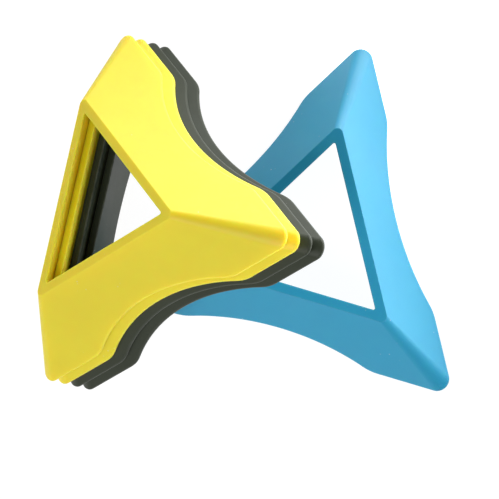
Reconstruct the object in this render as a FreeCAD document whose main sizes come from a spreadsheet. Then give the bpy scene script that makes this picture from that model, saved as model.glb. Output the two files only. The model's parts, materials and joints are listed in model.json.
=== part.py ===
"""Five nesting puzzle display stands: one flat on the table, four nested in a leaning stack.

Every stand is the same moulding: a low three-sided pyramid shell, cut off flat at a triangular window
and raised on three tips by a shallow arch in the middle of each side. All sizes are millimetres.
"""
import FreeCAD, Part
import Sketcher
import math
import os

SIZES = {
    # One stand
    "foot_apothem": 20.98,         # centre to the straight line through two feet
    "rim_apothem": 11.35,          # centre to the outside of the flat rim
    "stand_height": 14.0,          # table to the flat rim
    "wall_thickness": 1.65,        # square to the sloping wall
    "lip_depth": 0.2,              # upright inner face of the window
    "tip_radius": 2.28,            # rounding of each foot tip, seen from above
    "rim_corner_radius": 1.1,
    "cavity_foot_radius": 1.2,
    "window_corner_radius": 0.3,
    "arch_half_width": 18.6,       # where the arch curve would meet the table
    "arch_rise": 4.3,
    "arch_corner_radius": 7.7,     # rounded knee between arch and foot
    "lower_edge_radius": 0.5,
    "rim_edge_radius": 0.15,
    # The set
    "flat_heading": 13.38,         # degrees, turn of the flat stand about the upright axis
    "flat_x": 11.474,
    "flat_y": -5.166,
    "stack_heading": 167.38,       # degrees, the way the stack's axis leans
    "stack_tilt": 47.06,           # degrees from upright
    "stack_x": -10.657,            # centre of the lowest stand's base plane
    "stack_y": -3.387,
    "nest_pitch": 3.12,            # along the stack's axis, from one stand to the next
}

SIDES = 3
ARCH_PLANE_OFFSET = 12.0           # arch profile stands here, clear of the other two walls
CUT_OVERLAP = 1.0                  # how far cutting profiles run past the shell
EDGE_MARGIN = 0.25                 # tells outer edges from cavity edges

FLAT_STAND = "blue_stand"
STACKED_STANDS = ("black_stand_lower", "black_stand_upper", "yellow_stand_lower", "yellow_stand_upper")


def make_sheet(doc):
    """Spreadsheet with one named cell for each driving size."""
    sheet = doc.addObject("Spreadsheet::Sheet", "sizes")
    for row, (name, value) in enumerate(SIZES.items(), start=1):
        sheet.set("A%d" % row, name)
        sheet.set("B%d" % row, str(value))
        sheet.setAlias("B%d" % row, name)
    doc.recompute()
    return sheet


def origin_feature(body, role):
    """Origin plane or axis of a body, by its role."""
    for feature in body.Origin.OriginFeatures:
        if feature.Role == role:
            return feature
    raise ValueError("no origin feature " + role)


def add_sketch(body, name, role):
    """Empty sketch on one of the body's own origin planes."""
    sketch = body.newObject("Sketcher::SketchObject", name)
    sketch.AttachmentSupport = [(origin_feature(body, role), "")]
    sketch.MapMode = "FlatFace"
    return sketch


def flat_vector(x, y):
    return FreeCAD.Vector(x, y, 0.0)


def draw_rounded_triangle(sketch, apothem, radius, apothem_rule, radius_rule):
    """Equilateral triangle with rounded corners, one side square to +X, sizes bound to the sheet."""
    half_turn = math.pi / SIDES
    corner_distance = 2.0 * (apothem - radius)
    for side in range(SIDES):
        facing = 2.0 * half_turn * side
        reach = (apothem - radius) * math.tan(half_turn)
        outward = flat_vector(math.cos(facing), math.sin(facing))
        along = flat_vector(-math.sin(facing), math.cos(facing))
        start = outward * apothem - along * reach
        end = outward * apothem + along * reach
        sketch.addGeometry(Part.LineSegment(start, end), False)
        corner = facing + half_turn
        centre = flat_vector(math.cos(corner), math.sin(corner)) * corner_distance
        circle = Part.Circle(centre, FreeCAD.Vector(0.0, 0.0, 1.0), radius)
        sketch.addGeometry(Part.ArcOfCircle(circle, facing, facing + 2.0 * half_turn), False)
    for side in range(SIDES):
        line = 2 * side
        arc = line + 1
        next_line = (line + 2) % (2 * SIDES)
        sketch.addConstraint(Sketcher.Constraint("Tangent", line, 2, arc, 1))
        sketch.addConstraint(Sketcher.Constraint("Tangent", arc, 2, next_line, 1))
    sketch.addConstraint(Sketcher.Constraint("Vertical", 0))
    for side in range(1, SIDES):
        direction = 2.0 * half_turn * side + math.pi / 2.0
        sketch.addConstraint(Sketcher.Constraint("Angle", 2 * side, direction))
    for side in range(SIDES):
        index = sketch.addConstraint(Sketcher.Constraint("Distance", -1, 1, 2 * side, apothem))
        sketch.setExpression("Constraints[%d]" % index, apothem_rule)
    index = sketch.addConstraint(Sketcher.Constraint("Radius", 1, radius))
    sketch.setExpression("Constraints[%d]" % index, radius_rule)
    for side in range(1, SIDES):
        sketch.addConstraint(Sketcher.Constraint("Equal", 1, 2 * side + 1))


def draw_arch(sketch):
    """Arch profile: a shallow curve, a rounded knee on each side, closed below the table."""
    half_width = SIZES["arch_half_width"]
    rise = SIZES["arch_rise"]
    knee = SIZES["arch_corner_radius"]
    radius = (half_width ** 2 + rise ** 2) / (2.0 * rise)
    centre_height = rise - radius
    knee_x = math.sqrt((radius + knee) ** 2 - (knee - centre_height) ** 2)
    lean = math.atan2(knee_x, knee - centre_height)
    upright = math.pi / 2.0
    axis = FreeCAD.Vector(0.0, 0.0, 1.0)
    crown = Part.Circle(flat_vector(0.0, centre_height), axis, radius)
    right_knee = Part.Circle(flat_vector(knee_x, knee), axis, knee)
    left_knee = Part.Circle(flat_vector(-knee_x, knee), axis, knee)
    lower_right = flat_vector(knee_x, -CUT_OVERLAP)
    lower_left = flat_vector(-knee_x, -CUT_OVERLAP)
    sketch.addGeometry(Part.ArcOfCircle(crown, upright - lean, upright + lean), False)
    sketch.addGeometry(Part.ArcOfCircle(right_knee, 3.0 * upright - lean, 3.0 * upright), False)
    sketch.addGeometry(Part.ArcOfCircle(left_knee, 3.0 * upright, 3.0 * upright + lean), False)
    sketch.addGeometry(Part.LineSegment(flat_vector(knee_x, 0.0), lower_right), False)
    sketch.addGeometry(Part.LineSegment(lower_right, lower_left), False)
    sketch.addGeometry(Part.LineSegment(lower_left, flat_vector(-knee_x, 0.0)), False)
    constrain_arch(sketch, radius, centre_height, knee)


def constrain_arch(sketch, radius, centre_height, knee):
    """Ties the arch profile's curves together and binds its sizes to the sheet."""
    radius_rule = "(pow(sizes.arch_half_width; 2) + pow(sizes.arch_rise; 2)) / (2 * sizes.arch_rise)"
    links = (
        ("Tangent", 0, 1, 1, 1),
        ("Tangent", 0, 2, 2, 2),
        ("Coincident", 1, 2, 3, 1),
        ("Coincident", 3, 2, 4, 1),
        ("Coincident", 4, 2, 5, 1),
        ("Coincident", 5, 2, 2, 1),
        ("PointOnObject", 0, 3, -2),
        ("PointOnObject", 1, 2, -1),
        ("PointOnObject", 2, 1, -1),
        ("Vertical", 1, 3, 1, 2),
        ("Vertical", 2, 3, 2, 1),
        ("Vertical", 3),
        ("Horizontal", 4),
        ("Vertical", 5),
        ("Equal", 1, 2),
        ("DistanceY", 3, 2, 3, 1, CUT_OVERLAP),
    )
    for link in links:
        sketch.addConstraint(Sketcher.Constraint(*link))
    index = sketch.addConstraint(Sketcher.Constraint("Radius", 0, radius))
    sketch.setExpression("Constraints[%d]" % index, radius_rule)
    index = sketch.addConstraint(Sketcher.Constraint("DistanceY", -1, 1, 0, 3, centre_height))
    sketch.setExpression("Constraints[%d]" % index, "sizes.arch_rise - (%s)" % radius_rule)
    index = sketch.addConstraint(Sketcher.Constraint("Radius", 1, knee))
    sketch.setExpression("Constraints[%d]" % index, "sizes.arch_corner_radius")


def wall_across():
    """Wall thickness measured level, not square to the slope."""
    run = SIZES["foot_apothem"] - SIZES["rim_apothem"]
    slant = math.hypot(run, SIZES["stand_height"])
    return SIZES["wall_thickness"] * slant / SIZES["stand_height"]


def apothem_at(height):
    """Centre to the outside of a wall at a height above the table."""
    run = SIZES["foot_apothem"] - SIZES["rim_apothem"]
    return SIZES["foot_apothem"] - run * height / SIZES["stand_height"]


ACROSS_RULE = ("sizes.wall_thickness * sqrt(pow(sizes.stand_height; 2)"
               " + pow(sizes.foot_apothem - sizes.rim_apothem; 2)) / sizes.stand_height")
CAVITY_FOOT_RULE = "sizes.foot_apothem - " + ACROSS_RULE
WINDOW_RULE = ("sizes.rim_apothem + (sizes.foot_apothem - sizes.rim_apothem)"
               " * sizes.lip_depth / sizes.stand_height - " + ACROSS_RULE)


def add_triangle(body, name, apothem, radius, rules, height_rule=None):
    """Rounded triangle sketch, lifted to a height where a rule is given. rules: apothem, radius."""
    sketch = add_sketch(body, name, "XY_Plane")
    if height_rule:
        sketch.setExpression("AttachmentOffset.Base.z", height_rule)
    draw_rounded_triangle(sketch, apothem, radius, rules[0], rules[1])
    return sketch


def add_shell(doc, body, prefix):
    """Sloping three-sided shell: outer pyramid less the cavity less the window."""
    foot = add_triangle(body, prefix + "_foot", SIZES["foot_apothem"], SIZES["tip_radius"],
                        ("sizes.foot_apothem", "sizes.tip_radius"))
    rim = add_triangle(body, prefix + "_rim", SIZES["rim_apothem"], SIZES["rim_corner_radius"],
                       ("sizes.rim_apothem", "sizes.rim_corner_radius"), "sizes.stand_height")
    outside = body.newObject("PartDesign::AdditiveLoft", prefix + "_outside")
    outside.Profile = foot
    outside.Sections = [rim]
    outside.Ruled = True
    doc.recompute()
    cavity_foot = add_triangle(body, prefix + "_cavity_foot", SIZES["foot_apothem"] - wall_across(),
                               SIZES["cavity_foot_radius"],
                               (CAVITY_FOOT_RULE, "sizes.cavity_foot_radius"))
    lip_height = SIZES["stand_height"] - SIZES["lip_depth"]
    window_apothem = apothem_at(lip_height) - wall_across()
    window_radius = SIZES["window_corner_radius"]
    window_rules = (WINDOW_RULE, "sizes.window_corner_radius")
    cavity_top = add_triangle(body, prefix + "_cavity_top", window_apothem, window_radius,
                              window_rules, "sizes.stand_height - sizes.lip_depth")
    cavity = body.newObject("PartDesign::SubtractiveLoft", prefix + "_cavity")
    cavity.Profile = cavity_foot
    cavity.Sections = [cavity_top]
    cavity.Ruled = True
    doc.recompute()
    opening = add_triangle(body, prefix + "_opening", window_apothem, window_radius,
                           window_rules, "sizes.stand_height")
    window = body.newObject("PartDesign::Pocket", prefix + "_window")
    window.Profile = opening
    window.Type = "ThroughAll"
    doc.recompute()
    return window


def add_arches(doc, body, prefix):
    """One arch through a side wall, repeated for all the sides."""
    profile = add_sketch(body, prefix + "_arch_profile", "YZ_Plane")
    profile.AttachmentOffset = FreeCAD.Placement(FreeCAD.Vector(0.0, 0.0, ARCH_PLANE_OFFSET),
                                                 FreeCAD.Rotation())
    draw_arch(profile)
    doc.recompute()
    arch = body.newObject("PartDesign::Pocket", prefix + "_arch")
    arch.Profile = profile
    arch.Type = "ThroughAll"
    arch.Reversed = True
    doc.recompute()
    arches = body.newObject("PartDesign::PolarPattern", prefix + "_arches")
    arches.Originals = [arch]
    arches.Axis = (origin_feature(body, "Z_Axis"), [""])
    arches.Angle = 360.0
    arches.Occurrences = SIDES
    body.Tip = arches
    doc.recompute()
    return arches


def side_reach(point):
    """How far a point stands out, as the apothem at the table of the slope it lies on."""
    run = SIZES["foot_apothem"] - SIZES["rim_apothem"]
    level_reach = max(point.x * math.cos(2.0 * math.pi * side / SIDES)
                      + point.y * math.sin(2.0 * math.pi * side / SIDES) for side in range(SIDES))
    return level_reach + run * point.z / SIZES["stand_height"]


def edge_points(edge):
    """Ends and middle of an edge."""
    middle = (edge.FirstParameter + edge.LastParameter) / 2.0
    return [edge.valueAt(edge.FirstParameter), edge.valueAt(middle), edge.valueAt(edge.LastParameter)]


def lower_edge_names(shape):
    """Outer edges along the feet, the knees, the arches and round the tips."""
    cavity_reach = SIZES["foot_apothem"] - wall_across() + EDGE_MARGIN
    names = []
    for number, edge in enumerate(shape.Edges, start=1):
        points = edge_points(edge)
        low = max(point.z for point in points) < SIZES["arch_rise"] + EDGE_MARGIN
        outer = min(side_reach(point) for point in points) > cavity_reach
        if low and outer:
            names.append("Edge%d" % number)
    return names


def rim_edge_names(shape):
    """Both outlines of the flat rim."""
    lowest = SIZES["stand_height"] - SIZES["lip_depth"] / 2.0
    names = []
    for number, edge in enumerate(shape.Edges, start=1):
        if min(point.z for point in edge_points(edge)) > lowest:
            names.append("Edge%d" % number)
    return names


def add_fillet(doc, body, name, feature, edge_names, radius_rule):
    fillet = body.newObject("PartDesign::Fillet", name)
    fillet.Base = (feature, edge_names)
    fillet.setExpression("Radius", radius_rule)
    doc.recompute()
    return fillet


def build_stand(doc, name, placement):
    """One whole stand as a body, set down at its place in the set."""
    body = doc.addObject("PartDesign::Body", name)
    body.Label = name
    add_shell(doc, body, name)
    arches = add_arches(doc, body, name)
    soft_foot = add_fillet(doc, body, name + "_soft_foot", arches,
                           lower_edge_names(arches.Shape), "sizes.lower_edge_radius")
    soft_rim = add_fillet(doc, body, name + "_soft_rim", soft_foot,
                          rim_edge_names(soft_foot.Shape), "sizes.rim_edge_radius")
    body.Tip = soft_rim
    body.Placement = placement
    doc.recompute()
    return body


def upright_turn(degrees):
    return FreeCAD.Rotation(FreeCAD.Vector(0.0, 0.0, 1.0), degrees)


def flat_placement():
    position = flat_vector(SIZES["flat_x"], SIZES["flat_y"])
    return FreeCAD.Placement(position, upright_turn(SIZES["flat_heading"]))


def foot_drop():
    """How far the rounded lower edge lets a tilted stand sink below its sharp outline."""
    tilt = math.radians(SIZES["stack_tilt"])
    run = SIZES["foot_apothem"] - SIZES["rim_apothem"]
    half_wedge = math.atan2(SIZES["stand_height"], run) / 2.0
    rounding = math.sin(tilt) / math.tan(half_wedge) + math.cos(tilt) - 1.0
    return SIZES["lower_edge_radius"] * rounding


def stacked_placement(level):
    """Place of a stand in the leaning stack, level 0 standing on the table."""
    tilt = math.radians(SIZES["stack_tilt"])
    lean = FreeCAD.Rotation(FreeCAD.Vector(0.0, 1.0, 0.0), SIZES["stack_tilt"])
    rotation = upright_turn(SIZES["stack_heading"]).multiply(lean)
    axis = rotation.multVec(FreeCAD.Vector(0.0, 0.0, 1.0))
    height = SIZES["foot_apothem"] * math.sin(tilt) - foot_drop()
    base = FreeCAD.Vector(SIZES["stack_x"], SIZES["stack_y"], height)
    return FreeCAD.Placement(base + axis * (SIZES["nest_pitch"] * level), rotation)


def check_objects(doc):
    """Stops where a feature failed."""
    for item in doc.Objects:
        if "Invalid" in item.State or "Error" in item.State:
            raise RuntimeError("%s did not build: %s" % (item.Name, item.State))


def export_bodies(bodies):
    """One STEP file for each stand, named by its label."""
    os.makedirs("parts", exist_ok=True)
    for body in bodies:
        if body.Shape.isNull() or not body.Shape.isValid():
            raise RuntimeError(body.Label + " has no valid shape")
        if len(body.Shape.Solids) != 1:
            raise RuntimeError(body.Label + " is not one solid")
        body.Shape.exportStep("parts/%s.step" % body.Label)
        box = body.Shape.BoundBox
        print("%s volume %.1f box %.2f %.2f %.2f to %.2f %.2f %.2f" % (
            body.Label, body.Shape.Volume, box.XMin, box.YMin, box.ZMin, box.XMax, box.YMax, box.ZMax))


def main():
    doc = FreeCAD.newDocument("puzzle_stands")
    make_sheet(doc)
    bodies = [build_stand(doc, FLAT_STAND, flat_placement())]
    for level, name in enumerate(STACKED_STANDS):
        bodies.append(build_stand(doc, name, stacked_placement(level)))
    check_objects(doc)
    export_bodies(bodies)


main()
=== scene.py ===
import json
import math

import bpy
from mathutils import Matrix, Vector

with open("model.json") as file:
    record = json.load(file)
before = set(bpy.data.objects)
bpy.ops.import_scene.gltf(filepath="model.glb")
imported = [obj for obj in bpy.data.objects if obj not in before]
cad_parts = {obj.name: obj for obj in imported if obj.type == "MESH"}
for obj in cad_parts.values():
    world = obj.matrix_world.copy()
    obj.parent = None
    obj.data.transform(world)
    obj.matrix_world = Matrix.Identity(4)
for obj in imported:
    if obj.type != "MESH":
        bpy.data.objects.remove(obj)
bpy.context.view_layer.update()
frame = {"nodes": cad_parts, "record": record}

MM = 0.001

# Camera: a long lens high above the table, leaning a little towards the near edge.
CAMERA_DISTANCE = 770.7 * MM
CAMERA_LEAN = Vector((0.01995, -0.05496, 0.99829))
CAMERA_AIM = Vector((0.42, -6.65, 0.0)) * MM
SENSOR_WIDTH = 36.0
FOCAL_PIXELS = 4000.0
RENDER_PIXELS = 499

# Lights: a strong wide softbox low on the upper right, a weaker one high on the lower left.
# Angles in degrees, azimuth counted from +X towards +Y; sizes in metres; power in watts.
KEY_LIGHT = {"azimuth": 50.0, "elevation": 14.0, "width": 1.2, "height": 0.35, "watts": 9.0}
FILL_LIGHT = {"azimuth": 240.0, "elevation": 50.0, "width": 0.5, "height": 0.5, "watts": 4.0}
LIGHT_DISTANCE = 0.8
LIGHT_TARGET = Vector((0.0, 0.0, 0.01))
WORLD_STRENGTH = 0.2

# Table: white, with painted light: it glows by itself, and glows much more towards its bright side.
FLOOR_SIZE = 6.0
FLOOR_DROP = 0.02 * MM
FLOOR_GREY = (0.12, 0.12, 0.12, 1.0)
FLOOR_ROUGHNESS = 0.8
BRIGHT_SIDE = math.radians(30.0)
BRIGHT_START = 0.02
BRIGHT_END = 0.08
DIM_GLOW = 0.95
BRIGHT_GLOW = 4.5

# Plastics: the colour, the deeper colour of its flow clouds, the roughness, the strength of the
# surface reflection, and how much light goes through the wall.
PLASTICS = {
    "blue_plastic": {"colour": (0.006, 0.318, 0.53), "deep_colour": (0.006, 0.303, 0.512),
                     "roughness": 0.48, "gloss": 0.45, "glow": 0.15},
    "black_plastic": {"colour": (0.034, 0.042, 0.026), "deep_colour": (0.030, 0.037, 0.022),
                      "roughness": 0.46, "gloss": 0.2, "glow": 0.0},
    "yellow_plastic": {"colour": (0.80, 0.67, 0.012), "deep_colour": (0.78, 0.645, 0.010),
                       "roughness": 0.52, "gloss": 0.5, "glow": 0.9},
}
PLASTIC_IOR = 1.55
GLOW_RADIUS = (2.4, 1.5, 0.3)
GLOW_SCALE = 1.0 * MM

# Surface textures: scales in cells per metre, and the range of each pattern that is used.
CLOUD_SCALE = 90.0
CLOUD_RANGE = (0.35, 0.65)
HAZE_SCALE = 45.0
HAZE_RANGE = (0.3, 0.7)
SMOOTHER = 0.04
ROUGHER = 0.06
PEEL_SCALE = 1500.0
PEEL_DEPTH = 0.05 * MM
PEEL_STRENGTH = 0.10

# Pale edges, partly wear and partly painted highlight along the rounded edges: they run from none to
# full as the rounded and the real direction part.
EDGE_WEAR_AND_HIGHLIGHT_WIDTH = 0.4 * MM
EDGE_WEAR_AND_HIGHLIGHT_SAMPLES = 4
EDGE_WEAR_AND_HIGHLIGHT_AGREEMENT = (0.995, 0.94)
EDGE_WEAR_AND_HIGHLIGHT_STRENGTH = 0.3
EDGE_WEAR_AND_HIGHLIGHT_PALENESS = 0.16
EDGE_PATCH_SCALE = 350.0
EDGE_PATCH_RANGE = (0.40, 0.62)
LEAST_EDGE_PATCH = 0.15

# Dust: specks at the middle of scattered cells, and only in a few patches.
SPECK_SCALE = 700.0
SPECK_RANGE = (0.05, 0.12)
DUST_PATCH_SCALE = 160.0
DUST_PATCH_RANGE = (0.62, 0.70)
DUST_COLOUR = (0.75, 0.75, 0.72, 1.0)
DUST_STRENGTH = 0.5


class Shading:
    """Short helpers for adding and joining the nodes of one material."""

    def __init__(self, name):
        self.material = bpy.data.materials.new(name)
        self.material.use_nodes = True
        self.tree = self.material.node_tree
        self.shader = self.tree.nodes["Principled BSDF"]
        self.place = self.add("ShaderNodeTexCoord").outputs["Object"]

    def add(self, kind, **inputs):
        """New node with some of its inputs set."""
        node = self.tree.nodes.new(kind)
        for name, value in inputs.items():
            node.inputs[name.replace("_", " ")].default_value = value
        return node

    def join(self, output, target):
        self.tree.links.new(output, target)

    def texture(self, kind, output, **inputs):
        """Texture fixed to the stand's own coordinates."""
        node = self.add(kind, **inputs)
        self.join(self.place, node.inputs["Vector"])
        return node.outputs[output]

    def remap(self, value, source, target):
        """Value stretched from one range to another, and kept inside it."""
        node = self.add("ShaderNodeMapRange", From_Min=source[0], From_Max=source[1],
                        To_Min=target[0], To_Max=target[1])
        self.join(value, node.inputs["Value"])
        return node.outputs["Result"]

    def combine(self, operation, first, second):
        node = self.add("ShaderNodeMath")
        node.operation = operation
        self.join(first, node.inputs[0])
        self.join(second, node.inputs[1])
        return node.outputs["Value"]

    def cover(self, amount, below, colour):
        """Colour laid over another one where the amount asks for it."""
        node = self.add("ShaderNodeMix")
        node.data_type = "RGBA"
        self.join(amount, node.inputs["Factor"])
        self.join(below, node.inputs["A"])
        node.inputs["B"].default_value = colour
        return node.outputs["Result"]


def flow_clouds(shading, colour, deep_colour):
    """Faint clouds between the two colours of the plastic."""
    clouds = shading.texture("ShaderNodeTexNoise", "Fac", Scale=CLOUD_SCALE, Detail=3.0, Roughness=0.6)
    tint = shading.add("ShaderNodeValToRGB")
    deep_end, light_end = tint.color_ramp.elements
    deep_end.position = CLOUD_RANGE[0]
    deep_end.color = (*deep_colour, 1.0)
    light_end.position = CLOUD_RANGE[1]
    light_end.color = (*colour, 1.0)
    shading.join(clouds, tint.inputs["Fac"])
    return tint.outputs["Color"]


def worn_and_highlit_edges(shading):
    """Patchy pale edges, partly wear and partly painted highlight, found where a rounded surface
    direction differs from the real one.
    """
    rounded = shading.add("ShaderNodeBevel", Radius=EDGE_WEAR_AND_HIGHLIGHT_WIDTH)
    rounded.samples = EDGE_WEAR_AND_HIGHLIGHT_SAMPLES
    surface = shading.add("ShaderNodeNewGeometry")
    agreement = shading.add("ShaderNodeVectorMath")
    agreement.operation = "DOT_PRODUCT"
    shading.join(rounded.outputs["Normal"], agreement.inputs[0])
    shading.join(surface.outputs["Normal"], agreement.inputs[1])
    edges = shading.remap(agreement.outputs["Value"], EDGE_WEAR_AND_HIGHLIGHT_AGREEMENT, (0.0, EDGE_WEAR_AND_HIGHLIGHT_STRENGTH))
    edge_patch_noise = shading.texture("ShaderNodeTexNoise", "Fac", Scale=EDGE_PATCH_SCALE, Detail=3.0, Roughness=0.6)
    patches = shading.remap(edge_patch_noise, EDGE_PATCH_RANGE, (LEAST_EDGE_PATCH, 1.0))
    return shading.combine("MULTIPLY", edges, patches)


def dust_specks(shading):
    """Small specks that lie together in a few patches."""
    cells = shading.texture("ShaderNodeTexVoronoi", "Distance", Scale=SPECK_SCALE, Randomness=1.0)
    specks = shading.remap(cells, SPECK_RANGE, (1.0, 0.0))
    patches = shading.texture("ShaderNodeTexNoise", "Fac", Scale=DUST_PATCH_SCALE, Detail=2.0)
    where = shading.remap(patches, DUST_PATCH_RANGE, (0.0, DUST_STRENGTH))
    return shading.combine("MULTIPLY", specks, where)


def moulded_plastic(name, colour, deep_colour, roughness, gloss, glow):
    """Satin injection-moulded plastic: flow clouds, pale edges that are partly wear and partly painted
    highlight, dust, uneven sheen, orange peel.
    """
    shading = Shading(name)
    shader = shading.shader
    edge_wear_and_highlight = worn_and_highlit_edges(shading)
    # The edge colour is a paler copy of the plastic: partly wear, partly a painted highlight along the
    # rounded edges.
    wear_and_highlight_colour = (*(EDGE_WEAR_AND_HIGHLIGHT_PALENESS + (1.0 - EDGE_WEAR_AND_HIGHLIGHT_PALENESS) * channel for channel in colour), 1.0)
    worn_and_highlit = shading.cover(edge_wear_and_highlight, flow_clouds(shading, colour, deep_colour), wear_and_highlight_colour)
    dusty = shading.cover(dust_specks(shading), worn_and_highlit, DUST_COLOUR)
    shading.join(dusty, shader.inputs["Base Color"])

    haze = shading.texture("ShaderNodeTexNoise", "Fac", Scale=HAZE_SCALE, Detail=5.0, Roughness=0.65,
                           Distortion=0.4)
    sheen = shading.remap(haze, HAZE_RANGE, (roughness - SMOOTHER, roughness + ROUGHER))
    shading.join(shading.combine("ADD", sheen, edge_wear_and_highlight), shader.inputs["Roughness"])

    peel = shading.texture("ShaderNodeTexNoise", "Fac", Scale=PEEL_SCALE, Detail=2.0)
    bump = shading.add("ShaderNodeBump", Strength=PEEL_STRENGTH, Distance=PEEL_DEPTH)
    shading.join(peel, bump.inputs["Height"])
    shading.join(bump.outputs["Normal"], shader.inputs["Normal"])

    shader.inputs["IOR"].default_value = PLASTIC_IOR
    shader.inputs["Specular IOR Level"].default_value = gloss
    shader.inputs["Subsurface Weight"].default_value = glow
    shader.inputs["Subsurface Radius"].default_value = GLOW_RADIUS
    shader.inputs["Subsurface Scale"].default_value = GLOW_SCALE
    return shading.material


def finish_nodes():
    """Gives every stand its plastic."""
    materials = {slot: moulded_plastic(slot + "_moulded", **recipe) for slot, recipe in PLASTICS.items()}
    for part in frame["record"]["subparts"]:
        node = frame["nodes"][part["node"]]
        node.data.materials.clear()
        node.data.materials.append(materials[part["material_slot"]])


def add_floor():
    """White table top, much wider than the set, with a painted glow that is brighter towards the key
    light.
    """
    bpy.ops.mesh.primitive_plane_add(size=FLOOR_SIZE, location=(0.0, 0.0, -FLOOR_DROP))
    floor = bpy.context.object
    floor.name = "floor"
    shading = Shading("white_table")
    shader = shading.shader
    shader.inputs["Base Color"].default_value = FLOOR_GREY
    shader.inputs["Roughness"].default_value = FLOOR_ROUGHNESS
    shader.inputs["Emission Color"].default_value = (1.0, 1.0, 1.0, 1.0)
    across = shading.add("ShaderNodeVectorMath")
    across.operation = "DOT_PRODUCT"
    across.inputs[1].default_value = (math.cos(BRIGHT_SIDE), math.sin(BRIGHT_SIDE), 0.0)
    shading.join(shading.place, across.inputs[0])
    # Painted light: the table glows by itself, more strongly towards the key light.
    glow = shading.remap(across.outputs["Value"], (BRIGHT_START, BRIGHT_END), (DIM_GLOW, BRIGHT_GLOW))
    shading.join(glow, shader.inputs["Emission Strength"])
    floor.data.materials.append(shading.material)


def add_light(name, azimuth, elevation, width, height, watts):
    """Softbox facing the set."""
    data = bpy.data.lights.new(name, "AREA")
    data.shape = "RECTANGLE"
    data.size = width
    data.size_y = height
    data.energy = watts
    turn = math.radians(azimuth)
    rise = math.radians(elevation)
    towards = Vector((math.cos(rise) * math.cos(turn), math.cos(rise) * math.sin(turn), math.sin(rise)))
    light = bpy.data.objects.new(name, data)
    light.location = LIGHT_TARGET + towards * LIGHT_DISTANCE
    light.rotation_euler = (-towards).to_track_quat("-Z", "Y").to_euler()
    bpy.context.scene.collection.objects.link(light)


def add_lights():
    """Both softboxes and a dim white surround."""
    add_light("key", **KEY_LIGHT)
    add_light("fill", **FILL_LIGHT)
    world = bpy.data.worlds.new("studio")
    world.use_nodes = True
    background = world.node_tree.nodes["Background"]
    background.inputs["Color"].default_value = (1.0, 1.0, 1.0, 1.0)
    background.inputs["Strength"].default_value = WORLD_STRENGTH
    bpy.context.scene.world = world


def add_camera():
    """Looks almost straight down, with +Y up in the picture."""
    data = bpy.data.cameras.new("camera")
    data.sensor_width = SENSOR_WIDTH
    data.lens = SENSOR_WIDTH * FOCAL_PIXELS / RENDER_PIXELS
    camera = bpy.data.objects.new("camera", data)
    back = CAMERA_LEAN.normalized()
    right = Vector((0.0, 1.0, 0.0)).cross(back).normalized()
    up = back.cross(right)
    turn = Matrix((right, up, back)).transposed().to_4x4()
    camera.matrix_world = Matrix.Translation(CAMERA_AIM + back * CAMERA_DISTANCE) @ turn
    bpy.context.scene.collection.objects.link(camera)
    bpy.context.scene.camera = camera


finish_nodes()
add_floor()
add_lights()
add_camera()
bpy.context.scene.view_settings.view_transform = "Standard"
